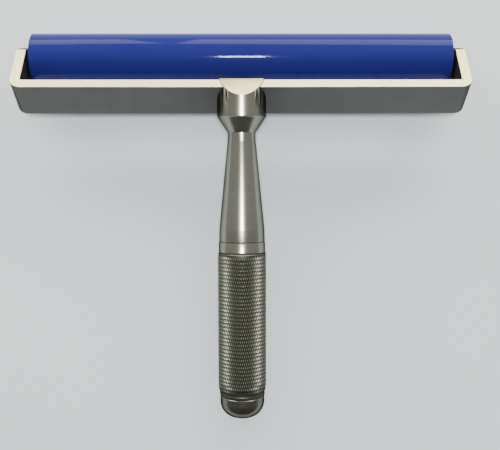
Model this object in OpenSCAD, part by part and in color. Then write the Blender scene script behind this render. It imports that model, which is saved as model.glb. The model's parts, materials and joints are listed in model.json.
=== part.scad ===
// Hand-held cleaning roller: a soft sleeve that turns on ball bearings in a U-shaped
// flat-bar frame, with a turned and knurled handle set at an angle to the frame.
//
// The roller axis lies along X. The tool rests as it is laid down on a table, with the
// roller and the end of the handle touching Z = 0 and the handle pointing to -Y.
// The origin is under the middle of the tool, on the table.

/* [Frame] */
// Overall width of the frame, outside to outside of the ears
frame_w = 270; // [200:1:340]
// Width of the flat bar
bar_w = 23; // [20:0.5:26]
// Thickness of the flat bar
bar_t = 6; // [5:0.5:7]
// Outer radius of the two bends
bend_r = 7; // [6.5:0.5:10]
// Distance from the outer face of the web to the end of the full-width part of an ear
ear_len = 31; // [28:0.5:36]
// Radius of the rounded nose of an ear
nose_r = 6; // [6:0.5:9]

/* [Roller] */
// Distance from the outer face of the web to the axle
axle_reach = 35.5; // [34:0.5:40]
// Outer radius of the soft sleeve
roller_r = 14.75; // [14:0.25:17]
// Gap between each end of the roller and the ear
end_gap = 1.5; // [1.5:0.5:5]
// Wall of the soft sleeve
sleeve_wall = 3; // [2:0.25:3]
// Wall of the core tube
tube_wall = 1.5; // [1:0.1:1.5]
// Rounding of the sleeve's end edges
sleeve_round = 0.8; // [0.3:0.1:1.5]

/* [Handle] */
// Angle between the handle and the plane of the frame, in degrees
handle_angle = 38.5; // [30:0.5:45]
// How far behind the web's outer face the handle's axis crosses the middle of the bar
handle_in = 1.2; // [0:0.1:3]
// Radius of the boss and of the knurled grip
grip_r = 14.5; // [13.5:0.1:15]
// Distance from the web to the lower end of the boss, along the handle
boss_end = 11; // [10.5:0.5:12]
// Distance from the web to the neck
neck_at = 19.7; // [17:0.1:21]
// Radius of the neck
neck_r = 8.2; // [7:0.1:9]
// Distance from the web to the joint between the neck and the collar
collar_at = 84.4; // [75:0.1:95]
// Length of the collar
collar_len = 6.6; // [5:0.1:8]
// Length of the knurled grip
grip_len = 87.4; // [80:0.1:110]
// Length of the end cap
cap_len = 13.4; // [12:0.1:16]
// Rounding of the end cap
cap_round = 9.5; // [5:0.5:10]
// Height of the boss above each edge of the bar
boss_lip = 0.7; // [0.5:0.1:2]

/* [Fasteners] */
// Nominal radius of the countersunk screws
screw_r = 2.5; // [2:0.5:2.5]
// Radius of a countersunk head
screw_head_r = 5; // [4:0.1:5]
// Distance from the middle of the frame to each screw that holds the handle
screw_offset = 7; // [6:0.5:7.5]

/* [Hidden] */
$fn = 96;

// Fits
thread_gap = 0.02;
seat_gap = 0.01;
hole_gap = 0.2;

// Frame
frame_in = frame_w / 2 - bar_t;
ear_corner = [ear_len, bar_w / 2];
nose_turn = atan2(ear_corner[1], ear_corner[0] - axle_reach)
    - acos(nose_r / norm(ear_corner - [axle_reach, 0]));
nose_touch = [axle_reach + nose_r * cos(nose_turn), nose_r * sin(nose_turn)];

// Screws: a 90 degree countersunk head with a hexagon socket
screw_head_h = screw_head_r - screw_r;
socket_r = 1.73;
socket_depth = 1.8;
axle_screw_len = 16;
handle_screw_len = 15;

// Ball bearings, 8 x 16 x 5 mm
axle_r = 4;
bearing_r = 8;
bearing_w = 5;
inner_ring_r = 5.2;
outer_ring_r = 6.8;
ball_r = 0.99;
ball_pitch_r = 6;
ball_count = 10;
race_r = 1.05;
cage_side = 1.4;
cage_open_side = 0.9;
cage_half = 0.5;
shield_t = 0.3;
shield_inset = 0.25;
shield_gap = 0.15;

// Roller, measured from its middle outwards along the axle
roller_end = frame_in - end_gap;
core_r = roller_r - sleeve_wall;
plug_r = core_r - tube_wall;
flange_t = 1.5;
plug_end = roller_end - 14;
clip_t = 1;
clip_lip = 1.2;
clip_depth = 0.5;
clip_ring_w = 1.3;
clip_gap_angle = 50;
clip_lug_r = 0.9;
clip_eye_r = 0.4;
clip_out = roller_end - clip_lip;
bearing_out = clip_out - clip_t;
bearing_mid = bearing_out - bearing_w / 2;
shoulder_r = 6.9;
spacer_r = 5.1;

// Handle, measured along its axis from where it crosses the web
cone_foot = neck_at + 5;
cone_top = collar_at - 8;
cone_foot_r = neck_r + 0.2;
cone_top_r = grip_r - 1;
collar_r = grip_r - 0.6;
grip_at = collar_at + collar_len;
cap_at = grip_at + grip_len;
cap_r = grip_r - 1.1;
handle_end = cap_at + cap_len;
cap_arc_at = handle_end - cap_round;
edge = 0.4;
grip_taper = 6;
grip_end_r = cap_r + 0.1;
grip_bore_r = 11;
spigot_gap = 0.05;
spigot_r = grip_bore_r - spigot_gap;
spigot_len = 7;
rod_r = 4;
rod_start = collar_at - 18;
rod_end = handle_end - 8;
rod_tip = 2;

// Rest position: a line that touches both the roller and the rounded end of the cap
arc_side = cap_r - cap_round;
arc_y = handle_in - cap_arc_at * cos(handle_angle) + arc_side * sin(handle_angle);
arc_z = -cap_arc_at * sin(handle_angle) - arc_side * cos(handle_angle);
to_roller = [axle_reach - arc_y, -arc_z];
rest_tilt = atan2(to_roller[1], to_roller[0]) - asin((roller_r - cap_round) / norm(to_roller));
handle_dip = handle_angle - rest_tilt;
lowest = -axle_reach * sin(rest_tilt) - roller_r;
foremost = axle_reach * cos(rest_tilt) + roller_r;
rearmost = handle_in * cos(rest_tilt) - cap_arc_at * cos(handle_dip) - arc_side * sin(handle_dip)
    - cap_round;
rest_shift = [0, -(foremost + rearmost) / 2, -lowest];

// How far a cutter runs past the faces it cuts
past = 1;

// ---- Places ----

// The frame's own place: X along the roller, Y from the web to the axle, Z across the bar
module on_frame() {
    translate(rest_shift) rotate([-rest_tilt, 0, 0]) children();
}

// Along the handle: Z runs down the handle's axis from the middle of the web
module on_handle() {
    on_frame() translate([0, handle_in, 0]) rotate([90 + handle_angle, 0, 0]) children();
}

// Along the axle: Z runs from the middle of the roller to the right (side 1) or left (side -1)
module on_axle(side = 1) {
    on_frame() translate([0, axle_reach, 0]) rotate([0, 90 * side, 0]) children();
}

// ---- Common shapes ----

// A ring or tube from height low to height high
module ring(r_out, r_in, low, high) {
    translate([0, 0, low]) difference() {
        cylinder(r = r_out, h = high - low);
        translate([0, 0, -past]) cylinder(r = r_in, h = high - low + 2 * past);
    }
}

// A cylinder from height low to height high
module rod(r, low, high) {
    translate([0, 0, low]) cylinder(r = r, h = high - low);
}

// A countersunk screw along Z, its head's face at zero and its tip at -len
module countersunk_screw(len) {
    tip = 0.6;
    difference() {
        rotate_extrude() polygon([[0, 0], [screw_head_r, 0], [screw_r, -screw_head_h],
            [screw_r, -len + tip], [screw_r - tip, -len], [0, -len]]);
        translate([0, 0, -socket_depth]) cylinder(r = socket_r, h = socket_depth + past, $fn = 6);
    }
}

// The clearance hole and countersink for such a screw, through a plate of thickness plate
module countersunk_hole(plate) {
    hole_r = screw_r + hole_gap;
    translate([0, 0, -plate - past]) cylinder(r = hole_r, h = plate + 2 * past);
    rotate_extrude() polygon([[0, past], [screw_head_r + past, past], [hole_r, hole_r - screw_head_r],
        [0, hole_r - screw_head_r]]);
}

// ---- Frame ----

// One bent bar seen along Z: web at the back, an ear at each side
module bar_outline() {
    difference() {
        rounded_u(frame_w / 2, 0, bend_r);
        rounded_u(frame_in, bar_t, bend_r - bar_t);
    }
}

// A block that is open to +Y, with its two rear corners rounded
module rounded_u(half_w, rear, corner_r) {
    reach = axle_reach + 2 * nose_r;
    translate([-half_w, rear + corner_r]) square([2 * half_w, reach - rear - corner_r]);
    translate([-half_w + corner_r, rear]) square([2 * (half_w - corner_r), corner_r + past]);
    for (side = [-1, 1]) translate([side * (half_w - corner_r), rear + corner_r]) circle(r = corner_r);
}

// One ear seen along X: full width, then two slants that meet a round nose at the axle
module ear_outline() {
    polygon([[-past, -bar_w / 2], [ear_len, -bar_w / 2], [nose_touch[0], -nose_touch[1]],
        nose_touch, ear_corner, [-past, bar_w / 2]]);
    translate([axle_reach, 0]) circle(r = nose_r);
}

// Places the screws that hold the handle, heads on the inner face of the web
module at_handle_screws() {
    for (side = [-1, 1])
        on_frame() translate([side * screw_offset, bar_t, 0]) rotate([-90, 0, 0]) children();
}

module frame_bracket() {
    color([0.42, 0.42, 0.42]) difference() {
        on_frame() intersection() {
            translate([0, 0, -bar_w / 2]) linear_extrude(height = bar_w) bar_outline();
            rotate([90, 0, 90]) translate([0, 0, -frame_w / 2 - past])
                linear_extrude(height = frame_w + 2 * past) ear_outline();
        }
        at_handle_screws() countersunk_hole(bar_t);
        for (side = [-1, 1])
            on_axle(side) translate([0, 0, frame_w / 2]) countersunk_hole(bar_t);
    }
}

module handle_screws() {
    color([0.3, 0.3, 0.31]) at_handle_screws() countersunk_screw(handle_screw_len);
}

// ---- Handle ----

// Outline of the boss, the short cone below it and the long cone, as radius against length.
// The boss starts well above the web, where the flats then trim it.
module neck_outline() {
    polygon([[0, -3 * bar_t], [grip_r, -3 * bar_t], [grip_r, boss_end - edge],
        [grip_r - edge, boss_end], [neck_r, neck_at], [cone_foot_r, cone_foot], [cone_top_r, cone_top],
        [collar_r - edge / 2, collar_at - edge], [collar_r - edge, collar_at], [0, collar_at]]);
}

module handle_neck() {
    color([0.72, 0.72, 0.68]) difference() {
        intersection() {
            on_handle() rotate_extrude() neck_outline();
            union() {
                on_frame() translate([-grip_r - past, -2 * grip_r, -bar_w / 2 - boss_lip])
                    cube([2 * (grip_r + past), 2 * grip_r + bar_t, bar_w + 2 * boss_lip]);
                on_handle() rod(grip_r - edge / 2, boss_end, collar_at + past);
            }
        }
        on_frame() translate([-frame_w / 2, 0, -bar_w / 2]) cube([frame_w, bar_t + past, bar_w]);
        at_handle_screws() rod(screw_r + thread_gap, -handle_screw_len - past, 0);
        on_handle() rod(rod_r + thread_gap, rod_start - past, collar_at + past);
    }
}

module grip_collar() {
    color([0.75, 0.75, 0.7]) on_handle() difference() {
        rotate_extrude() polygon([[0, collar_at], [collar_r - edge / 2, collar_at],
            [collar_r, collar_at + edge], [grip_r - edge, grip_at - 2 * edge], [grip_r - edge, grip_at],
            [spigot_r, grip_at], [spigot_r, grip_at + spigot_len - edge],
            [spigot_r - edge, grip_at + spigot_len], [0, grip_at + spigot_len]]);
        rod(rod_r + hole_gap, collar_at - past, grip_at + spigot_len + past);
    }
}

// The knurled tube. Its radius is the radius over the crests of the knurl.
module grip_sleeve() {
    color([0.45, 0.46, 0.4]) on_handle() rotate_extrude()
        polygon([[grip_bore_r, grip_at], [grip_r - edge, grip_at], [grip_r, grip_at + edge],
            [grip_r, cap_at - grip_taper], [grip_end_r + edge, cap_at - grip_taper / 4],
            [grip_end_r, cap_at], [grip_bore_r, cap_at]]);
}

module end_cap() {
    lip_r = cap_r - edge;
    cap_profile_r = cap_r - cap_round;
    color([0.5, 0.5, 0.45]) on_handle() difference() {
        union() {
            rod(spigot_r, cap_at - spigot_len, cap_at + past);
            rotate_extrude() polygon([[0, cap_at], [lip_r, cap_at], [cap_r, cap_at + edge],
                [cap_r, cap_arc_at], [cap_profile_r, cap_arc_at], [cap_profile_r, handle_end],
                [0, handle_end]]);
            rotate_extrude() intersection() {
                translate([cap_profile_r, cap_arc_at]) circle(r = cap_round);
                translate([0, cap_arc_at]) square([grip_r, cap_round]);
            }
        }
        rod(rod_r + thread_gap, cap_at - spigot_len - past, rod_end + rod_tip);
    }
}

// The stud that pulls the cap, the knurled tube and the collar against the neck
module tie_rod() {
    chamfer = 0.8;
    color([0.6, 0.6, 0.62]) on_handle() rotate_extrude() polygon([[0, rod_start],
        [rod_r - chamfer, rod_start], [rod_r, rod_start + chamfer], [rod_r, rod_end - chamfer],
        [rod_r - chamfer, rod_end], [0, rod_end]]);
}

// ---- Axle ----

// The rod between the ears, tapped at both ends
module axle() {
    tapped = axle_screw_len - bar_t + past;
    color([0.62, 0.63, 0.65]) difference() {
        on_axle() rod(axle_r, -frame_in, frame_in);
        for (side = [-1, 1]) on_axle(side) rod(screw_r + thread_gap, frame_in - tapped, frame_in + past);
    }
}

module axle_screw(side) {
    color([0.35, 0.35, 0.36]) on_axle(side) translate([0, 0, frame_w / 2])
        countersunk_screw(axle_screw_len);
}

// The tube that holds the bearing's inner ring off the ear
module spacer(side) {
    color([0.7, 0.7, 0.7]) on_axle(side) ring(spacer_r, axle_r + seat_gap, bearing_out, frame_in);
}

// ---- Bearing ----

module at_bearing(side) {
    on_axle(side) translate([0, 0, bearing_mid]) children();
}

// The groove that the balls run in
module race() {
    rotate_extrude() translate([ball_pitch_r, 0]) circle(r = race_r, $fn = 32);
}

module inner_ring(side) {
    color([0.7, 0.71, 0.73]) at_bearing(side) difference() {
        ring(inner_ring_r, axle_r + seat_gap, -bearing_w / 2, bearing_w / 2);
        race();
    }
}

module outer_ring(side) {
    color([0.7, 0.71, 0.73]) at_bearing(side) difference() {
        ring(bearing_r, outer_ring_r, -bearing_w / 2, bearing_w / 2);
        race();
    }
}

module at_balls() {
    for (i = [0:ball_count - 1]) rotate([0, 0, 360 * i / ball_count]) translate([ball_pitch_r, 0, 0])
        children();
}

module bearing_balls(side) {
    color([0.85, 0.85, 0.86]) at_bearing(side) at_balls() sphere(r = ball_r, $fn = 32);
}

module ball_cage(side) {
    color([0.75, 0.6, 0.35]) at_bearing(side) difference() {
        ring(ball_pitch_r + cage_half, ball_pitch_r - cage_half, -cage_side, cage_open_side);
        at_balls() sphere(r = race_r, $fn = 32);
    }
}

module bearing_shields(side) {
    low = bearing_w / 2 - shield_inset - shield_t;
    color([0.66, 0.67, 0.69]) at_bearing(side) for (face = [0, 1]) mirror([0, 0, face])
        ring(outer_ring_r, inner_ring_r + shield_gap, low, low + shield_t);
}

// ---- Roller ----

// Places the two lugs of the retaining clip beside its gap
module at_clip_lugs() {
    lug_angle = clip_gap_angle / 2 + 7;
    for (turn = [-1, 1]) rotate([0, 0, turn * lug_angle])
        translate([bearing_r - clip_ring_w, 0, 0]) children();
}

// Open spring ring that sits in the groove of the end plug and keeps the bearing in
module retaining_clip(side) {
    outer = bearing_r + clip_depth;
    far = 2 * bearing_r;
    wedge = [far * cos(clip_gap_angle / 2), far * sin(clip_gap_angle / 2)];
    color([0.25, 0.25, 0.26]) on_axle(side) translate([0, 0, bearing_out]) difference() {
        union() {
            difference() {
                ring(outer - seat_gap, bearing_r - clip_ring_w, 0, clip_t);
                translate([0, 0, -past]) linear_extrude(height = clip_t + 2 * past)
                    polygon([[0, 0], [wedge[0], -wedge[1]], wedge]);
            }
            at_clip_lugs() cylinder(r = clip_lug_r, h = clip_t);
        }
        at_clip_lugs() translate([0, 0, -past]) cylinder(r = clip_eye_r, h = clip_t + 2 * past);
    }
}

// Flanged plug in the end of the core tube, which carries the bearing
module end_plug(side) {
    color([0.55, 0.56, 0.58]) on_axle(side) difference() {
        union() {
            rod(plug_r, plug_end, roller_end);
            rod(core_r, roller_end - flange_t, roller_end);
        }
        rod(shoulder_r, plug_end - past, roller_end + past);
        rod(bearing_r, bearing_out - bearing_w, roller_end + past);
        rod(bearing_r + clip_depth, bearing_out, clip_out);
    }
}

module core_tube() {
    color([0.6, 0.6, 0.62]) on_axle()
        ring(core_r, plug_r, -roller_end + flange_t, roller_end - flange_t);
}

// The soft glossy sleeve that does the cleaning, with eased end edges
module cleaning_sleeve() {
    color([0.12, 0.22, 0.55]) on_axle() rotate_extrude() {
        translate([core_r, -roller_end]) square([sleeve_wall - sleeve_round, 2 * roller_end]);
        translate([core_r, -roller_end + sleeve_round])
            square([sleeve_wall, 2 * (roller_end - sleeve_round)]);
        for (end = [-1, 1]) translate([roller_r - sleeve_round, end * (roller_end - sleeve_round)])
            circle(r = sleeve_round);
    }
}

frame_bracket();
handle_neck();
grip_collar();
grip_sleeve();
end_cap();
tie_rod();
handle_screws();
axle();
axle_screw(-1);  // axle_screw_left
axle_screw(1);  // axle_screw_right
spacer(-1);  // spacer_left
spacer(1);  // spacer_right
inner_ring(-1);  // inner_ring_left
inner_ring(1);  // inner_ring_right
outer_ring(-1);  // outer_ring_left
outer_ring(1);  // outer_ring_right
ball_cage(-1);  // ball_cage_left
ball_cage(1);  // ball_cage_right
bearing_balls(-1);  // bearing_balls_left
bearing_balls(1);  // bearing_balls_right
bearing_shields(-1);  // bearing_shields_left
bearing_shields(1);  // bearing_shields_right
retaining_clip(-1);  // retaining_clip_left
retaining_clip(1);  // retaining_clip_right
end_plug(-1);  // end_plug_left
end_plug(1);  // end_plug_right
core_tube();
cleaning_sleeve();
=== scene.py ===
import json
import math

import bmesh
import bpy
from mathutils import Matrix, Vector


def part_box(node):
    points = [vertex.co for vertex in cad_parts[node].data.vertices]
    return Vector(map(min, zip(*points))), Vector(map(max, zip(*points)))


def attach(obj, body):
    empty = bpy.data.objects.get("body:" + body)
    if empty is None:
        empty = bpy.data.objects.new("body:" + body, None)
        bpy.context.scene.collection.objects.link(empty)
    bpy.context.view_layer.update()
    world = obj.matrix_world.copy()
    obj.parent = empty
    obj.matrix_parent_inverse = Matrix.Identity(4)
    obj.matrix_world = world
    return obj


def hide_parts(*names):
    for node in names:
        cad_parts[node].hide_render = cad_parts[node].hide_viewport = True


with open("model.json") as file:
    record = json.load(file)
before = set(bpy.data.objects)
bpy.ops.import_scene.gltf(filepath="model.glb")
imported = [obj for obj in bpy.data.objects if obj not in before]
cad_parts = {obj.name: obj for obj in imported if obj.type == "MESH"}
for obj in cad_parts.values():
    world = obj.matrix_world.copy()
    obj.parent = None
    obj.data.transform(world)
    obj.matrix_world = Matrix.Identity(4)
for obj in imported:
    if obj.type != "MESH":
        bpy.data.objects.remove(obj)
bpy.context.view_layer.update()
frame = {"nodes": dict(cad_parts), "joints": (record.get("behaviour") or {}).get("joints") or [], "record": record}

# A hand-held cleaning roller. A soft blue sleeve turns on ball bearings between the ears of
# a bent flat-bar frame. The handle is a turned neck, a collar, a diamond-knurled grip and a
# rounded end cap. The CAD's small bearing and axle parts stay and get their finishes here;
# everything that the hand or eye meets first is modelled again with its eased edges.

MM = 0.001

# ---- Sizes of the tool, in millimetres ----

FRAME_WIDTH = 270
BAR_WIDTH = 23
BAR_THICKNESS = 6
BEND_RADIUS = 7
BEND_STEPS = 12
BAR_EASE = 0.45
EAR_LENGTH = 31
NOSE_RADIUS = 6
NOSE_STEPS = 9
AXLE_REACH = 35.5

ROLLER_RADIUS = 14.75
CORE_RADIUS = 11.75
ROLLER_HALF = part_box("cleaning_sleeve")[1].x / MM
SLEEVE_EASE = 0.8
SLEEVE_EASE_STEPS = 5

HANDLE_ANGLE = math.radians(38.5)
HANDLE_IN = 1.2
GRIP_RADIUS = 14.5
BOSS_END = 11
BOSS_LIP = 0.7
BOSS_EASE = 0.28
NECK_AT, NECK_RADIUS = 19.7, 8.2
CONE_AT, CONE_RADIUS = 24.7, 8.4
CONE_TOP_AT, CONE_TOP_RADIUS = 76.4, 13.5
COLLAR_AT = 84.4
GRIP_AT = 91.0
CAP_AT = 178.4
CAP_RADIUS = 13.4
CAP_ROUND = 9.5
CAP_STEPS = 14
HANDLE_END = 191.8
GRIP_BORE = 11
SPIGOT_RADIUS, SPIGOT_LENGTH, SPIGOT_CHAMFER = 10.95, 7, 0.4
ROD_BORE = 4.02
ROD_SLIP = 0.18
ROD_BORE_START, ROD_BORE_END = 65.4, 185.8

KNURL_SIDES = 72
KNURL_START, KNURL_END = 91.9, 176.4
KNURL_ROWS = 19
KNURL_DEPTH = 0.45
KNURL_FLANK = 0.48

AXLE_SCREW_LENGTH, WEB_SCREW_LENGTH = 16, 15
SCREW_RADIUS = 2.5
SCREW_CHAMFER = 0.6
SCREW_HEAD_RADIUS = 5
SCREW_RIM = 0.25
SOCKET_RADIUS = 1.73
SOCKET_DEPTH = 1.8
SCREW_OFFSET = 7
HOLE_GAP = 0.2

# Faces round a turned piece
SLEEVE_SIDES, HANDLE_SIDES, SCREW_SIDES = 160, 128, 64

# ---- Places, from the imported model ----

axle_centre = Vector(frame["joints"][0]["pos_m"])
grip_axis = Vector(frame["record"]["mounts"][0]["axis"])
tilt = HANDLE_ANGLE - math.asin(-grip_axis.z)
web_middle = axle_centre - AXLE_REACH * MM * Vector((0, math.cos(tilt), -math.sin(tilt)))

# X along the roller, Y from the web's outer face to the axle, Z across the bar
FRAME_PLACE = Matrix.Translation(web_middle) @ Matrix.Rotation(-tilt, 4, "X")
# Z down the handle from the middle of the web, Y on its upper side
HANDLE_PLACE = (FRAME_PLACE @ Matrix.Translation((0, HANDLE_IN * MM, 0))
                @ Matrix.Rotation(math.radians(90) + HANDLE_ANGLE, 4, "X"))


def axle_place(side):
    """Z along the axle from the roller's middle, to the right (1) or left (-1)."""
    return (FRAME_PLACE @ Matrix.Translation((0, AXLE_REACH * MM, 0))
            @ Matrix.Rotation(side * math.radians(90), 4, "Y"))


# ---- Workshop: small steps that every piece uses ----

def alone(piece):
    """Selects one piece and nothing else."""
    bpy.ops.object.select_all(action="DESELECT")
    piece.select_set(True)
    bpy.context.view_layer.objects.active = piece


def pick(piece, kind, wanted):
    """In edit mode, selects the verts, edges or faces that pass the test, and nothing else."""
    bpy.ops.mesh.select_mode(type={"verts": "VERT", "edges": "EDGE", "faces": "FACE"}[kind])
    bpy.ops.mesh.select_all(action="DESELECT")
    mesh = bmesh.from_edit_mesh(piece.data)
    for part in getattr(mesh, kind):
        if wanted(part):
            part.select_set(True)
    bmesh.update_edit_mesh(piece.data)


def middle(face):
    """The middle of a face, in mm."""
    corners = [v.co for v in face.verts]
    return sum(corners, Vector()) / len(corners) / MM


def draw_out(x=0, y=0, z=0):
    """Extrudes the selection by a distance in mm."""
    bpy.ops.mesh.extrude_region_move(TRANSFORM_OT_translate={"value": (x * MM, y * MM, z * MM)})


def clean(piece):
    """In edit mode, merges doubled points and turns every face outwards, then leaves edit mode."""
    bpy.ops.mesh.select_mode(type="VERT")
    bpy.ops.mesh.select_all(action="SELECT")
    bpy.ops.mesh.remove_doubles(threshold=0.002 * MM)
    bpy.ops.mesh.normals_make_consistent(inside=False)
    bpy.ops.object.mode_set(mode="OBJECT")


def finish_with(piece, kind, **settings):
    """Adds a modifier to a piece and applies it."""
    alone(piece)
    modifier = piece.modifiers.new(kind.title(), kind)
    for name, value in settings.items():
        setattr(modifier, name, value)
    bpy.ops.object.modifier_apply(modifier=modifier.name)


def cut(piece, *tools):
    """Cuts the shapes of other pieces out of a piece, and takes those away."""
    for tool in tools:
        finish_with(piece, "BOOLEAN", object=tool, operation="DIFFERENCE", solver="EXACT")
        bpy.data.objects.remove(tool)


def place(piece, matrix):
    """Puts a piece in its place on the tool, with the place held in its mesh."""
    alone(piece)
    piece.matrix_world = matrix @ piece.matrix_world
    bpy.ops.object.transform_apply(location=True, rotation=True, scale=True)


def copy_of(piece, name):
    """A copy of a piece with its own mesh."""
    twin = piece.copy()
    twin.data = piece.data.copy()
    twin.name = name
    bpy.context.scene.collection.objects.link(twin)
    return twin


def turned(name, outline, sides):
    """A piece turned about Z. A ring is drawn out along (height, radius) steps in mm.
    An outline that ends where it starts makes a tube; any other is closed by flat ends."""
    tube = outline[0] == outline[-1]
    height, radius = outline[0]
    bpy.ops.object.select_all(action="DESELECT")
    bpy.ops.mesh.primitive_circle_add(vertices=sides, radius=radius * MM,
                                      fill_type="NOTHING" if tube else "NGON",
                                      location=(0, 0, height * MM))
    piece = bpy.context.object
    piece.name = name
    bpy.ops.object.transform_apply(location=True, rotation=True, scale=True)
    bpy.ops.object.mode_set(mode="EDIT")
    bpy.ops.mesh.select_all(action="SELECT")
    for next_height, next_radius in outline[1:]:
        draw_out(z=next_height - height)
        grow = next_radius / radius
        bpy.ops.transform.resize(value=(grow, grow, 1), center_override=(0, 0, next_height * MM))
        height, radius = next_height, next_radius
    clean(piece)
    return piece


def block(name, low, high):
    """A plain block between two corners in mm, used only as a cutter."""
    low, high = Vector(low) * MM, Vector(high) * MM
    bpy.ops.object.select_all(action="DESELECT")
    bpy.ops.mesh.primitive_cube_add(size=1, location=(low + high) / 2, scale=high - low)
    piece = bpy.context.object
    piece.name = name
    bpy.ops.object.transform_apply(location=True, rotation=True, scale=True)
    return piece


def slice_off(piece, point, normal):
    """Saws a piece along a plane, takes away the side that the normal points to and closes
    the cut."""
    alone(piece)
    bpy.ops.object.mode_set(mode="EDIT")
    bpy.ops.mesh.select_all(action="SELECT")
    bpy.ops.mesh.bisect(plane_co=Vector(point) * MM, plane_no=normal, use_fill=True,
                        clear_outer=True)
    bpy.ops.object.mode_set(mode="OBJECT")


def smooth(piece, degrees=28, even=False):
    """Shades a piece smooth but for its sharp edges. Even keeps large faces true beside
    small ones."""
    alone(piece)
    bpy.ops.object.shade_smooth_by_angle(angle=math.radians(degrees))
    if even:
        finish_with(piece, "WEIGHTED_NORMAL", keep_sharp=True)


# ---- Frame ----

def countersink(plate):
    """A cutter for a countersunk hole along Z, through a plate whose face is at zero."""
    hole = SCREW_RADIUS + HOLE_GAP
    return turned("countersink", [(-plate - 1, hole), (hole - SCREW_HEAD_RADIUS, hole),
                                  (1, SCREW_HEAD_RADIUS + 1)], SCREW_SIDES)


def bent_bar():
    """The flat bar, drawn out from the middle of the web, bent round each corner into an ear."""
    bpy.ops.object.select_all(action="DESELECT")
    bpy.ops.mesh.primitive_plane_add(size=1, rotation=(0, math.radians(90), 0),
                                     location=(0, BAR_THICKNESS / 2 * MM, 0))
    bar = bpy.context.object
    bar.name = "bent_bar"
    bpy.ops.object.transform_apply(location=True, rotation=True, scale=True)
    bpy.ops.object.mode_set(mode="EDIT")
    bpy.ops.mesh.select_all(action="SELECT")
    bpy.ops.transform.resize(value=(1, BAR_THICKNESS * MM, BAR_WIDTH * MM),
                             center_override=(0, BAR_THICKNESS / 2 * MM, 0))
    bpy.ops.mesh.delete(type="ONLY_FACE")
    bpy.ops.mesh.select_all(action="SELECT")
    bend_at = FRAME_WIDTH / 2 - BEND_RADIUS
    draw_out(x=bend_at)
    bpy.ops.mesh.spin(steps=BEND_STEPS, angle=math.radians(-90), axis=(0, 0, 1),
                      center=(bend_at * MM, BEND_RADIUS * MM, 0))
    draw_out(y=AXLE_REACH + NOSE_RADIUS - BEND_RADIUS)
    bpy.ops.mesh.edge_face_add()
    clean(bar)
    finish_with(bar, "MIRROR", use_axis=(True, False, False), use_mirror_merge=True,
                merge_threshold=0.01 * MM)

    # Two slants narrow each ear, and a round nose joins them about the axle
    corner = Vector((EAR_LENGTH - AXLE_REACH, BAR_WIDTH / 2))
    turn = math.atan2(corner.y, corner.x) - math.acos(NOSE_RADIUS / corner.length)
    for side in (1, -1):
        slice_off(bar, (0, EAR_LENGTH, side * BAR_WIDTH / 2),
                  (0, math.cos(turn), side * math.sin(turn)))
    tip = AXLE_REACH + NOSE_RADIUS
    tip_half = NOSE_RADIUS * (1 - math.cos(turn)) / math.sin(turn)
    tip_round = tip_half * 0.99  # a hair less than half the tip, so the two roundings stay apart
    alone(bar)
    bpy.ops.object.mode_set(mode="EDIT")
    pick(bar, "edges", lambda e: all(abs(v.co.y / MM - tip) < 0.01 for v in e.verts)
         and abs(e.verts[0].co.z - e.verts[1].co.z) < 0.01 * MM)
    bpy.ops.mesh.bevel(offset=tip_round * MM, segments=NOSE_STEPS, profile=0.5)
    clean(bar)

    for side in (1, -1):
        ear_hole = countersink(BAR_THICKNESS)
        place(ear_hole, Matrix.Translation((side * FRAME_WIDTH / 2 * MM, AXLE_REACH * MM, 0))
              @ Matrix.Rotation(side * math.radians(90), 4, "Y"))
        web_hole = countersink(BAR_THICKNESS)
        place(web_hole, Matrix.Translation((side * SCREW_OFFSET * MM, BAR_THICKNESS * MM, 0))
              @ Matrix.Rotation(math.radians(-90), 4, "X"))
        cut(bar, ear_hole, web_hole)
    finish_with(bar, "BEVEL", width=BAR_EASE * MM, segments=3, limit_method="ANGLE",
                angle_limit=math.radians(35))
    smooth(bar, even=True)
    place(bar, FRAME_PLACE)
    return bar


def countersunk_screw(length):
    """A screw along Z: its head's face at zero with an eased rim and a hexagon socket, its tip
    below."""
    head = SCREW_HEAD_RADIUS - SCREW_RIM
    screw = turned("countersunk_screw", [
        (-length, SCREW_RADIUS - SCREW_CHAMFER), (-length + SCREW_CHAMFER, SCREW_RADIUS),
        (SCREW_RADIUS - SCREW_HEAD_RADIUS, SCREW_RADIUS), (-SCREW_RIM, head),
        (-SCREW_RIM / 2, head), (0, head - SCREW_RIM)], SCREW_SIDES)
    socket = turned("socket", [
        (-SOCKET_DEPTH, SOCKET_RADIUS * 0.92), (-SOCKET_DEPTH + 0.15, SOCKET_RADIUS),
        (-0.2, SOCKET_RADIUS), (0.2, SOCKET_RADIUS + 0.4)], sides=6)
    cut(screw, socket)
    smooth(screw)
    return screw


# ---- Handle ----

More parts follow.
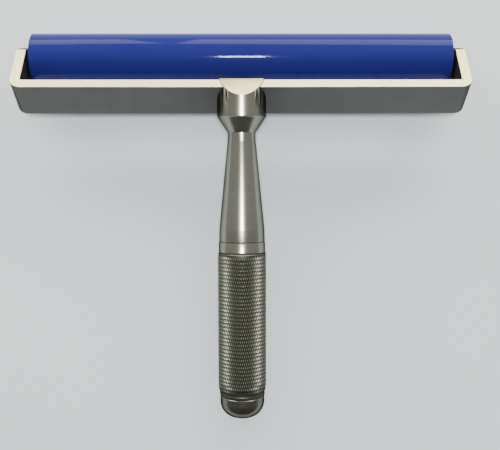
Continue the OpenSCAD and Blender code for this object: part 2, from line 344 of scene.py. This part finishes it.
def turned_neck():
    """The neck with the boss that is let into the frame: one turned piece, its boss sawn flat at
    the top, at the bottom and behind, and notched for the bar."""
    neck = turned("turned_neck", [
        (ROD_BORE_START, ROD_BORE), (COLLAR_AT, ROD_BORE), (COLLAR_AT, GRIP_RADIUS - 1.1),
        (COLLAR_AT - 0.15, GRIP_RADIUS - 0.95), (COLLAR_AT - 0.55, GRIP_RADIUS - 0.8),
        (CONE_TOP_AT + 1, CONE_TOP_RADIUS + 0.06), (CONE_TOP_AT, CONE_TOP_RADIUS),
        (CONE_TOP_AT - 1, CONE_TOP_RADIUS - 0.12), (CONE_AT + 1, CONE_RADIUS + 0.1),
        (CONE_AT, CONE_RADIUS), (NECK_AT + 0.25, NECK_RADIUS), (NECK_AT, NECK_RADIUS + 0.1),
        (NECK_AT - 0.25, NECK_RADIUS + 0.25), (BOSS_END + 0.12, GRIP_RADIUS - 0.5),
        (BOSS_END, GRIP_RADIUS - 0.36), (BOSS_END - 0.14, GRIP_RADIUS - 0.16),
        (BOSS_END - 0.4, GRIP_RADIUS), (-3 * BAR_THICKNESS, GRIP_RADIUS)], HANDLE_SIDES)
    place(neck, FRAME_PLACE.inverted() @ HANDLE_PLACE)
    flat = BAR_WIDTH / 2 + BOSS_LIP
    slice_off(neck, (0, BAR_THICKNESS, 0), (0, 1, 0))
    slice_off(neck, (0, 0, flat), (0, 0, 1))
    below = block("below", (-2 * GRIP_RADIUS, -2 * GRIP_RADIUS, -4 * GRIP_RADIUS),
                  (2 * GRIP_RADIUS, 2 * GRIP_RADIUS, -flat))
    down = Vector((0, -math.cos(HANDLE_ANGLE), -math.sin(HANDLE_ANGLE)))
    slice_off(below, Vector((0, HANDLE_IN, 0)) + down * BOSS_END, down)
    notch = block("notch", (-2 * GRIP_RADIUS, 0, -BAR_WIDTH / 2),
                  (2 * GRIP_RADIUS, BAR_THICKNESS + 1, BAR_WIDTH / 2))
    cut(neck, below, notch)
    finish_with(neck, "BEVEL", width=BOSS_EASE * MM, segments=3, limit_method="ANGLE",
                angle_limit=math.radians(50))
    smooth(neck, even=True)
    place(neck, FRAME_PLACE)
    return neck


def collar_ring():
    """The ring between neck and grip: a fine lip, a slight flare, an eased shoulder and the
    spigot that centres the grip."""
    bore, end = ROD_BORE + ROD_SLIP, GRIP_AT + SPIGOT_LENGTH
    collar = turned("collar_ring", [
        (COLLAR_AT, bore), (COLLAR_AT, 13.45), (COLLAR_AT + 0.3, 13.8),
        (COLLAR_AT + 0.6, 13.9), (GRIP_AT - 0.9, 14.02), (GRIP_AT - 0.7, 14.05),
        (GRIP_AT - 0.4, 14.0), (GRIP_AT, 13.6), (GRIP_AT, SPIGOT_RADIUS),
        (end - SPIGOT_CHAMFER, SPIGOT_RADIUS), (end, SPIGOT_RADIUS - SPIGOT_CHAMFER),
        (end, bore), (COLLAR_AT, bore)], HANDLE_SIDES)
    smooth(collar, 20)
    place(collar, HANDLE_PLACE)
    return collar


def grip_radius(height):
    """Radius over the knurl's crests: straight, then a long taper near the cap."""
    taper_at, end_at = CAP_AT - 6, CAP_AT - 1.5
    reach = min(max((height - taper_at) / (end_at - taper_at), 0), 1)
    return GRIP_RADIUS - 0.6 * reach ** 1.3


def knurled_grip():
    """The grip tube. Its middle is laid out in rows. Each row's faces are poked and their old
    edges dissolved, which leaves diamonds. Each diamond is then raised into a blunt pyramid."""
    row = (KNURL_END - KNURL_START) / KNURL_ROWS
    rows = [KNURL_START + i * row for i in range(KNURL_ROWS + 1)]
    outline = [(GRIP_AT, GRIP_BORE), (GRIP_AT, GRIP_RADIUS - 0.8),
               (KNURL_START - 0.25, GRIP_RADIUS - 0.2), (KNURL_START - 0.1, GRIP_RADIUS - 0.2)]
    outline += [(height, grip_radius(height) - KNURL_DEPTH) for height in rows]
    outline += [(CAP_AT - 1.5, CAP_RADIUS + 0.3), (CAP_AT - 0.3, CAP_RADIUS + 0.1),
                (CAP_AT, CAP_RADIUS - 0.15), (CAP_AT, GRIP_BORE), (GRIP_AT, GRIP_BORE)]
    grip = turned("knurled_grip", outline, KNURL_SIDES)
    laid_out = len(grip.data.vertices)

    def on_the_knurl(face):
        at = middle(face)
        return KNURL_START < at.z < KNURL_END and at.xy.length > GRIP_BORE + 1

    def old_edge(edge):
        heights = [v.co.z / MM for v in edge.verts]
        return (all(v.index < laid_out for v in edge.verts)
                and all(len(f.verts) == 3 for f in edge.link_faces)
                and KNURL_START - 0.01 < min(heights) and max(heights) < KNURL_END + 0.01)

    def diamond(face):
        heights = [v.co.z for v in face.verts]
        return (on_the_knurl(face) and len(heights) == 4
                and max(heights) - min(heights) < 1.2 * row * MM)

    alone(grip)
    bpy.ops.object.mode_set(mode="EDIT")
    pick(grip, "faces", on_the_knurl)
    bpy.ops.mesh.poke()
    bmesh.from_edit_mesh(grip.data).verts.index_update()
    pick(grip, "edges", old_edge)
    bpy.ops.mesh.dissolve_edges(use_verts=False)
    pick(grip, "faces", diamond)
    bpy.ops.mesh.inset(thickness=KNURL_FLANK * MM, depth=KNURL_DEPTH * MM, use_individual=True,
                       use_even_offset=True)
    clean(grip)
    smooth(grip, 12)
    place(grip, HANDLE_PLACE)
    return grip


def rounded_cap():
    """The cap that closes the handle: a small lip, a short straight, a full rounding and a
    flat end, with a spigot and a blind bore inside."""
    arc_at, arc_in = HANDLE_END - CAP_ROUND, CAP_RADIUS - CAP_ROUND
    turns = [math.radians(90) * i / CAP_STEPS for i in range(1, CAP_STEPS + 1)]
    arc = [(arc_at + CAP_ROUND * math.sin(turn), arc_in + CAP_ROUND * math.cos(turn))
           for turn in turns]
    start = CAP_AT - SPIGOT_LENGTH
    cap = turned("rounded_cap", [
        (ROD_BORE_END, ROD_BORE), (start, ROD_BORE), (start, SPIGOT_RADIUS - SPIGOT_CHAMFER),
        (start + SPIGOT_CHAMFER, SPIGOT_RADIUS), (CAP_AT, SPIGOT_RADIUS),
        (CAP_AT, CAP_RADIUS - 0.45), (CAP_AT + 0.15, CAP_RADIUS - 0.25),
        (CAP_AT + 0.5, CAP_RADIUS), (arc_at, CAP_RADIUS)] + arc, HANDLE_SIDES)
    smooth(cap, 20)
    place(cap, HANDLE_PLACE)
    return cap


# ---- Roller ----

def soft_sleeve():
    """The soft sleeve: a tube with rounded end edges."""
    half = ROLLER_HALF - SLEEVE_EASE
    turns = [math.radians(90) * i / SLEEVE_EASE_STEPS for i in range(1, SLEEVE_EASE_STEPS + 1)]
    edge = [(SLEEVE_EASE * math.sin(turn), SLEEVE_EASE * (1 - math.cos(turn))) for turn in turns]
    outline = [(-half, ROLLER_RADIUS), (half, ROLLER_RADIUS)]
    outline += [(half + out, ROLLER_RADIUS - down) for out, down in edge]
    outline += [(ROLLER_HALF, CORE_RADIUS), (-ROLLER_HALF, CORE_RADIUS)]
    outline += [(-half - out, ROLLER_RADIUS - down) for out, down in reversed(edge)]
    outline += [(-half, ROLLER_RADIUS)]
    sleeve = turned("soft_sleeve", outline, SLEEVE_SIDES)
    smooth(sleeve, 40)
    place(sleeve, axle_place(1))
    return sleeve


# ---- Finishes ----

class Value:
    """A number, vector or colour inside a finish, written with Python's own operators."""

    def __init__(self, finish, socket):
        self.finish, self.socket = finish, socket

    def maths(self, operation, first, second):
        return self.finish.node("ShaderNodeMath", {"operation": operation}, {0: first, 1: second})

    def __add__(self, other):
        return self.maths("ADD", self, other)

    def __radd__(self, other):
        return self.maths("ADD", other, self)

    def __sub__(self, other):
        return self.maths("SUBTRACT", self, other)

    def __rsub__(self, other):
        return self.maths("SUBTRACT", other, self)

    def __mul__(self, other):
        return self.maths("MULTIPLY", self, other)

    def __rmul__(self, other):
        return self.maths("MULTIPLY", other, self)


class Finish:
    """One material. Fixed amounts are set on the shader; patterns are built from nodes."""

    def __init__(self, name, fixed):
        self.material = bpy.data.materials.new(name)
        self.material.use_nodes = True
        self.tree = self.material.node_tree
        self.shader = self.tree.nodes["Principled BSDF"]
        for socket, amount in fixed.items():
            self.shader.inputs[socket].default_value = amount

    def node(self, kind, settings=None, inputs=None, output=0):
        """Any node: its kind, its settings, then the numbers or values of its sockets."""
        made = self.tree.nodes.new(kind)
        for key, amount in (settings or {}).items():
            setattr(made, key, amount)
        for key, amount in (inputs or {}).items():
            self.feed(made.inputs[key], amount)
        return Value(self, made.outputs[output])

    def feed(self, socket, amount):
        """Links a value to a socket, or sets a plain number there."""
        if isinstance(amount, Value):
            self.tree.links.new(amount.socket, socket)
        else:
            socket.default_value = amount

    def show(self, socket, amount):
        """Feeds one of the shader's own sockets."""
        self.feed(self.shader.inputs[socket], amount)

    def inside(self, matrix):
        """Object coordinates seen from a place on the tool."""
        here = self.node("ShaderNodeTexCoord", output="Object")
        return self.node("ShaderNodeMapping", {"vector_type": "TEXTURE"}, {
            "Vector": here, "Location": matrix.to_translation(), "Rotation": matrix.to_euler()})

    def along(self, vector, axis):
        """One coordinate of a vector."""
        return self.node("ShaderNodeSeparateXYZ", inputs={0: vector}, output=axis)

    def stretched(self, vector, x, y, z):
        """A vector with each coordinate scaled on its own."""
        return self.node("ShaderNodeVectorMath", {"operation": "MULTIPLY"},
                         {0: vector, 1: (x, y, z)})

    def noise(self, vector, scale, detail=3, roughness=0.5):
        """Cloudy noise in space."""
        return self.node("ShaderNodeTexNoise", {"noise_dimensions": "3D"}, {
            "Vector": vector, "Scale": scale, "Detail": detail, "Roughness": roughness})

    def size(self, value):
        """A value without its sign."""
        return self.node("ShaderNodeMath", {"operation": "ABSOLUTE"}, {0: value})

    def lines(self, along, scale, detail=3):
        """Fine uneven lines across one coordinate, as a lathe tool leaves them."""
        return self.node("ShaderNodeTexNoise", {"noise_dimensions": "1D"},
                         {"W": along, "Scale": scale, "Detail": detail, "Roughness": 0.6})

    def wave(self, value):
        """The cosine of a value in radians."""
        return self.node("ShaderNodeMath", {"operation": "COSINE"}, {0: value})

    def ramp(self, value, low, high):
        """Nought below low, one above high, and a smooth change between."""
        return self.node("ShaderNodeMapRange", {"interpolation_type": "SMOOTHSTEP"},
                         {"Value": value, "From Min": low, "From Max": high})

    def mix(self, amount, first, second):
        """Two colours mixed by an amount."""
        made = self.tree.nodes.new("ShaderNodeMix")
        made.data_type = "RGBA"
        self.feed(made.inputs["Factor"], amount)
        self.feed(made.inputs[6], first)
        self.feed(made.inputs[7], second)
        return Value(self, made.outputs[2])

    def bump(self, height, distance, strength):
        """Small relief, its height given in mm."""
        self.show("Normal", self.node("ShaderNodeBump", inputs={
            "Height": height, "Distance": distance * MM, "Strength": strength}))


def colour(red, green, blue):
    """An opaque colour."""
    return (red, green, blue, 1.0)


def satin_bar():
    """Drawn flat bar with a satin grey finish and fine grain along the bar. Its narrow edge faces
    carry a pale cream painted highlight.
    """
    bar = Finish("satin_bar", {"Metallic": 1.0, "Specular Tint": colour(0.2, 0.2, 0.19)})
    local = bar.inside(FRAME_PLACE)
    grain = bar.noise(bar.stretched(local, 12, 900, 900), 1.0, 4, 0.6)
    cloud = bar.noise(local, 55, 3)
    speck = bar.noise(local, 2600, 2)
    across = bar.size(bar.along(local, "Z"))
    # Painted highlight: the narrow edge faces get a pale cream colour that stands for light falling on them.
    edge = bar.ramp(across + cloud * (0.3 * MM),
                    (BAR_WIDTH / 2 - 0.3) * MM, (BAR_WIDTH / 2 + 0.1) * MM)
    tone = bar.mix(cloud, colour(0.12, 0.12, 0.112), colour(0.165, 0.165, 0.153))
    tone = bar.mix(grain * 0.3, tone, colour(0.22, 0.22, 0.21))
    paler_tone = bar.mix(grain, colour(0.68, 0.66, 0.42), colour(0.78, 0.75, 0.49))
    bar.show("Base Color", bar.mix(edge, tone, paler_tone))
    bar.show("Roughness", 0.36 + grain * 0.12 + speck * 0.06)
    bar.bump(grain * 0.6 + speck * 0.4, 0.03, 0.35)
    return bar.material


def polished_turning(name, base, dark, flats=False):
    """Turned and polished metal: fine rings left by the tool, a faint cloud. With flats, the faces
    milled level with the bar's edges have a finer, duller grain and a pale cream painted highlight."""
    metal = Finish(name, {"Metallic": 1.0, "Specular Tint": colour(0.12, 0.12, 0.11)})
    local = metal.inside(HANDLE_PLACE)
    rings = metal.lines(metal.along(local, "Z"), 2600, 3)
    bands = metal.lines(metal.along(local, "Z"), 240, 2)
    cloud = metal.noise(local, 60, 3)
    tone = metal.mix(cloud * 0.7 + bands * 0.3, colour(*dark), colour(*base))
    rough = 0.15 + rings * 0.10 + cloud * 0.05
    if flats:
        across = metal.inside(FRAME_PLACE)
        level = BAR_WIDTH / 2 + BOSS_LIP
        height = metal.size(metal.along(across, "Z"))
        behind = metal.ramp(metal.along(across, "Y"), -12 * MM, -11 * MM)
        # Painted highlight: the milled flats are given a pale cream colour that stands for light on them.
        milled = metal.ramp(height, (level - 0.12) * MM, (level - 0.04) * MM) * behind
        grain = metal.noise(metal.stretched(across, 60, 900, 1), 1.0, 3)
        flat_highlight = metal.mix(grain, colour(0.56, 0.535, 0.28), colour(0.66, 0.625, 0.34))
        tone = metal.mix(milled, tone, flat_highlight)
        rough = rough + milled * (0.10 + grain * 0.12)
    metal.show("Base Color", tone)
    metal.show("Roughness", rough)
    metal.bump(rings * 0.7 + bands * 0.3, 0.004, 0.5)
    return metal.material


def knurled_finish():
    """The knurl's finish: darker metal, dirt low in the grooves, rubbed, brighter crests and
    painted shade in the pits where the grooves cross.
    """
    metal = Finish("knurled_finish", {"Metallic": 1.0, "Specular Tint": colour(0.2, 0.2, 0.18)})
    local = metal.inside(HANDLE_PLACE)
    flat = metal.stretched(local, 1, 1, 0)
    reach = metal.node("ShaderNodeVectorMath", {"operation": "LENGTH"}, {0: flat}, output="Value")
    crest = metal.ramp(reach, (GRIP_RADIUS - KNURL_DEPTH) * MM, GRIP_RADIUS * MM)
    turn = metal.node("ShaderNodeMath", {"operation": "ARCTAN2"},
                      {0: metal.along(local, "Y"), 1: metal.along(local, "X")})
    row = (KNURL_END - KNURL_START) / KNURL_ROWS * MM
    down = (metal.along(local, "Z") - KNURL_START * MM) * (2 * math.pi / row)
    crossing = metal.wave(turn * KNURL_SIDES) * metal.wave(down)
    knurled = metal.ramp(metal.along(local, "Z"),
                         (KNURL_START - 0.1) * MM, (KNURL_START + 0.1) * MM)
    # Painted shade: the pits where the grooves cross are darkened, on top of the dirt low in the grooves.
    pit_shade = metal.ramp(crossing, 0.2, 0.9) * knurled
    cloud = metal.noise(local, 80, 3)
    speck = metal.noise(local, 1500, 2)
    paler_tone = metal.mix(cloud, colour(0.25, 0.255, 0.21), colour(0.32, 0.322, 0.268))
    grime_and_shade = metal.mix(speck, colour(0.05, 0.053, 0.042), colour(0.09, 0.092, 0.075))
    tone = metal.mix(crest * 0.85 + 0.1, grime_and_shade, paler_tone)
    metal.show("Base Color", metal.mix(pit_shade * 0.75, tone, grime_and_shade))
    metal.show("Roughness", 0.44 - crest * 0.08 + speck * 0.08 + pit_shade * 0.12)
    metal.bump(speck, 0.01, 0.4)
    return metal.material


def blue_silicone():
    """Glossy blue silicone rubber: deep even colour, a faint cloud, a very slight orange peel."""
    rubber = Finish("blue_silicone", {"Specular IOR Level": 0.15, "IOR": 1.43})
    local = rubber.inside(axle_place(1))
    cloud = rubber.noise(rubber.stretched(local, 1, 1, 0.35), 90, 3)
    peel = rubber.noise(local, 420, 2)
    rubber.show("Base Color", rubber.mix(cloud, colour(0.0155, 0.0185, 0.150),
                                         colour(0.0185, 0.023, 0.180)))
    rubber.show("Roughness", 0.045 + cloud * 0.05)
    rubber.bump(peel, 0.02, 0.12)
    return rubber.material


def plain_metal(name, base, paler_tone, rough, ring_scale=2200):
    """Small metal parts: rings from turning along the roller's axle and a faint cloud."""
    metal = Finish(name, {"Metallic": 1.0})
    local = metal.inside(axle_place(1))
    rings = metal.lines(metal.along(local, "Z"), ring_scale, 2)
    cloud = metal.noise(local, 300, 3)
    metal.show("Base Color", metal.mix(cloud * 0.8, colour(*base), colour(*paler_tone)))
    metal.show("Roughness", rough + rings * 0.12 + cloud * 0.05)
    metal.bump(rings, 0.004, 0.4)
    return metal.material


def give(piece, material):
    """Gives a piece or a CAD part one finish all over."""
    if not piece.data.materials:
        piece.data.materials.append(material)
    for index in range(len(piece.data.materials)):
        piece.data.materials[index] = material


# ---- Make the tool ----

bar = bent_bar()
neck = turned_neck()
collar = collar_ring()
grip = knurled_grip()
cap = rounded_cap()
sleeve = soft_sleeve()

axle_screw = countersunk_screw(AXLE_SCREW_LENGTH)
screw_left = copy_of(axle_screw, "axle_screw_left_piece")
axle_screw.name = "axle_screw_right_piece"
place(axle_screw, axle_place(1) @ Matrix.Translation((0, 0, FRAME_WIDTH / 2 * MM)))
place(screw_left, axle_place(-1) @ Matrix.Translation((0, 0, FRAME_WIDTH / 2 * MM)))

web_screw = countersunk_screw(WEB_SCREW_LENGTH)
web_screw.name = "web_screws"
second = copy_of(web_screw, "second_screw")
for screw, side in ((web_screw, 1), (second, -1)):
    place(screw, FRAME_PLACE
          @ Matrix.Translation((side * SCREW_OFFSET * MM, BAR_THICKNESS * MM, 0))
          @ Matrix.Rotation(math.radians(-90), 4, "X"))
alone(web_screw)
second.select_set(True)
bpy.ops.object.join()

satin = satin_bar()
TURNED, TURNED_DARK = (0.335, 0.331, 0.285), (0.25, 0.248, 0.21)
polished = polished_turning("polished_turning", TURNED, TURNED_DARK)
milled_polished = polished_turning("polished_and_milled", TURNED, TURNED_DARK, flats=True)
# Painted shade: the end cap gets a darker copy of the polished turning.
cap_shaded_polish = polished_turning("cap_shaded_turning", (0.20, 0.195, 0.165), (0.14, 0.138, 0.115))
knurl = knurled_finish()
silicone = blue_silicone()
screw_finish = plain_metal("blackened_screw", (0.10, 0.10, 0.105), (0.20, 0.20, 0.20), 0.32)
axle_finish = plain_metal("ground_axle", (0.50, 0.51, 0.53), (0.60, 0.60, 0.61), 0.16)
bearing_finish = plain_metal("bearing_steel", (0.58, 0.59, 0.61), (0.68, 0.69, 0.70), 0.12, 4000)
brass_finish = plain_metal("cage_brass", (0.60, 0.42, 0.17), (0.72, 0.55, 0.27), 0.25, 3000)
core_finish = plain_metal("core_aluminium", (0.50, 0.51, 0.53), (0.62, 0.62, 0.63), 0.28)
clip_finish = plain_metal("spring_clip", (0.13, 0.13, 0.135), (0.20, 0.20, 0.21), 0.35)

# Each piece, the CAD part it stands for, its body, its material slot and its finish
PIECES = [
    (bar, "frame_bracket", "frame", "frame_bar", satin),
    (neck, "handle_neck", "frame", "turned_metal", milled_polished),
    (collar, "grip_collar", "frame", "turned_metal", polished),
    (grip, "grip_sleeve", "frame", "knurled_metal", knurl),
    (cap, "end_cap", "frame", "turned_metal", cap_shaded_polish),
    (axle_screw, "axle_screw_right", "frame", "screw_steel", screw_finish),
    (screw_left, "axle_screw_left", "frame", "screw_steel", screw_finish),
    (web_screw, "handle_screws", "frame", "screw_steel", screw_finish),
    (sleeve, "cleaning_sleeve", "roller", "silicone", silicone),
]
for piece, node, body, slot, material in PIECES:
    give(piece, material)
    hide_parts(node)
    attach(piece, body)

# The CAD parts that stay: plain names, or one each at the left and right
CAD_FINISHES = {
    "tie_rod": axle_finish, "axle": axle_finish, "spacer": core_finish,
    "inner_ring": bearing_finish, "outer_ring": bearing_finish, "ball_cage": brass_finish,
    "bearing_balls": bearing_finish, "bearing_shields": bearing_finish,
    "retaining_clip": clip_finish, "end_plug": core_finish, "core_tube": core_finish,
}
for name, part in frame["nodes"].items():
    for start, material in CAD_FINISHES.items():
        if name in (start, start + "_left", start + "_right"):
            give(part, material)


# ---- Floor, light and camera ----

def pale_floor():
    """A plain painted floor, three metres each way from the tool."""
    bpy.ops.object.select_all(action="DESELECT")
    bpy.ops.mesh.primitive_plane_add(size=6)
    floor = bpy.context.object
    floor.name = "pale_floor"
    paint = Finish("pale_paint", {"Roughness": 0.9, "Specular IOR Level": 0.1})
    here = paint.node("ShaderNodeTexCoord", output="Object")
    paint.show("Base Color", paint.mix(paint.noise(here, 3), colour(0.74, 0.81, 0.87),
                                       colour(0.76, 0.83, 0.89)))
    give(floor, paint.material)


def soft_light(name, at, aim, width, height, power, tint=(1, 1, 1)):
    """A soft panel of light, its place and size in metres, its power in watts."""
    bpy.ops.object.light_add(type="AREA", location=at)
    lamp = bpy.context.object
    lamp.name = name
    lamp.rotation_euler = (Vector(at) - Vector(aim)).to_track_quat("Z", "Y").to_euler()
    lamp.data.shape = "RECTANGLE"
    lamp.data.size, lamp.data.size_y = width, height
    lamp.data.energy = power
    lamp.data.color = tint


def studio_walls():
    """The room's own light: soft from behind and above, dimmer from the front."""
    world = bpy.data.worlds.new("studio")
    world.use_nodes = True
    nodes, links = world.node_tree.nodes, world.node_tree.links
    way = nodes.new("ShaderNodeTexCoord")
    split = nodes.new("ShaderNodeSeparateXYZ")
    fade = nodes.new("ShaderNodeMapRange")
    fade.interpolation_type = "SMOOTHSTEP"
    for socket, amount in (("From Min", -0.80), ("From Max", 0.25),
                           ("To Min", 0.17), ("To Max", 0.60)):
        fade.inputs[socket].default_value = amount
    links.new(way.outputs["Generated"], split.inputs[0])
    links.new(split.outputs["Y"], fade.inputs["Value"])
    links.new(fade.outputs[0], nodes["Background"].inputs["Strength"])
    nodes["Background"].inputs["Color"].default_value = colour(1, 1, 1)
    bpy.context.scene.world = world


def camera(at, aim, lens, lean):
    """A camera that looks down at the tool with the roller at the top. The lens is in mm, and
    the lean, in degrees, turns the view."""
    bpy.ops.object.camera_add(location=at)
    seen = bpy.context.object
    seen.name = "viewpoint"
    back = (Vector(at) - Vector(aim)).normalized()
    right = Vector((0, 1, 0)).cross(back).normalized()
    turned_to = Matrix((right, back.cross(right), back)).transposed()
    seen.rotation_euler = (turned_to @ Matrix.Rotation(math.radians(lean), 3, "Z")).to_euler()
    seen.data.lens = lens
    seen.data.sensor_width = 36
    seen.data.clip_start, seen.data.clip_end = 0.01, 20
    bpy.context.scene.camera = seen


pale_floor()
WARM = (1.0, 0.94, 0.78)
soft_light("over_panel", at=(0, -0.03, 1.0), aim=(0, 0, 0.02), width=0.12, height=0.12, power=7.5)
soft_light("back_panel_left", at=(-0.83, 1.08, 0.46), aim=(-0.3, 0.09, 0.03),
           width=1.2, height=0.6, power=17, tint=WARM)
soft_light("back_panel_right", at=(0.41, 1.08, 0.46), aim=(0.1, 0.09, 0.03),
           width=1.2, height=0.6, power=17, tint=WARM)
studio_walls()
camera(at=(0.0004, -0.0125, 0.4744), aim=(0.0049, -0.0005, 0.020), lens=53.97, lean=-0.17)
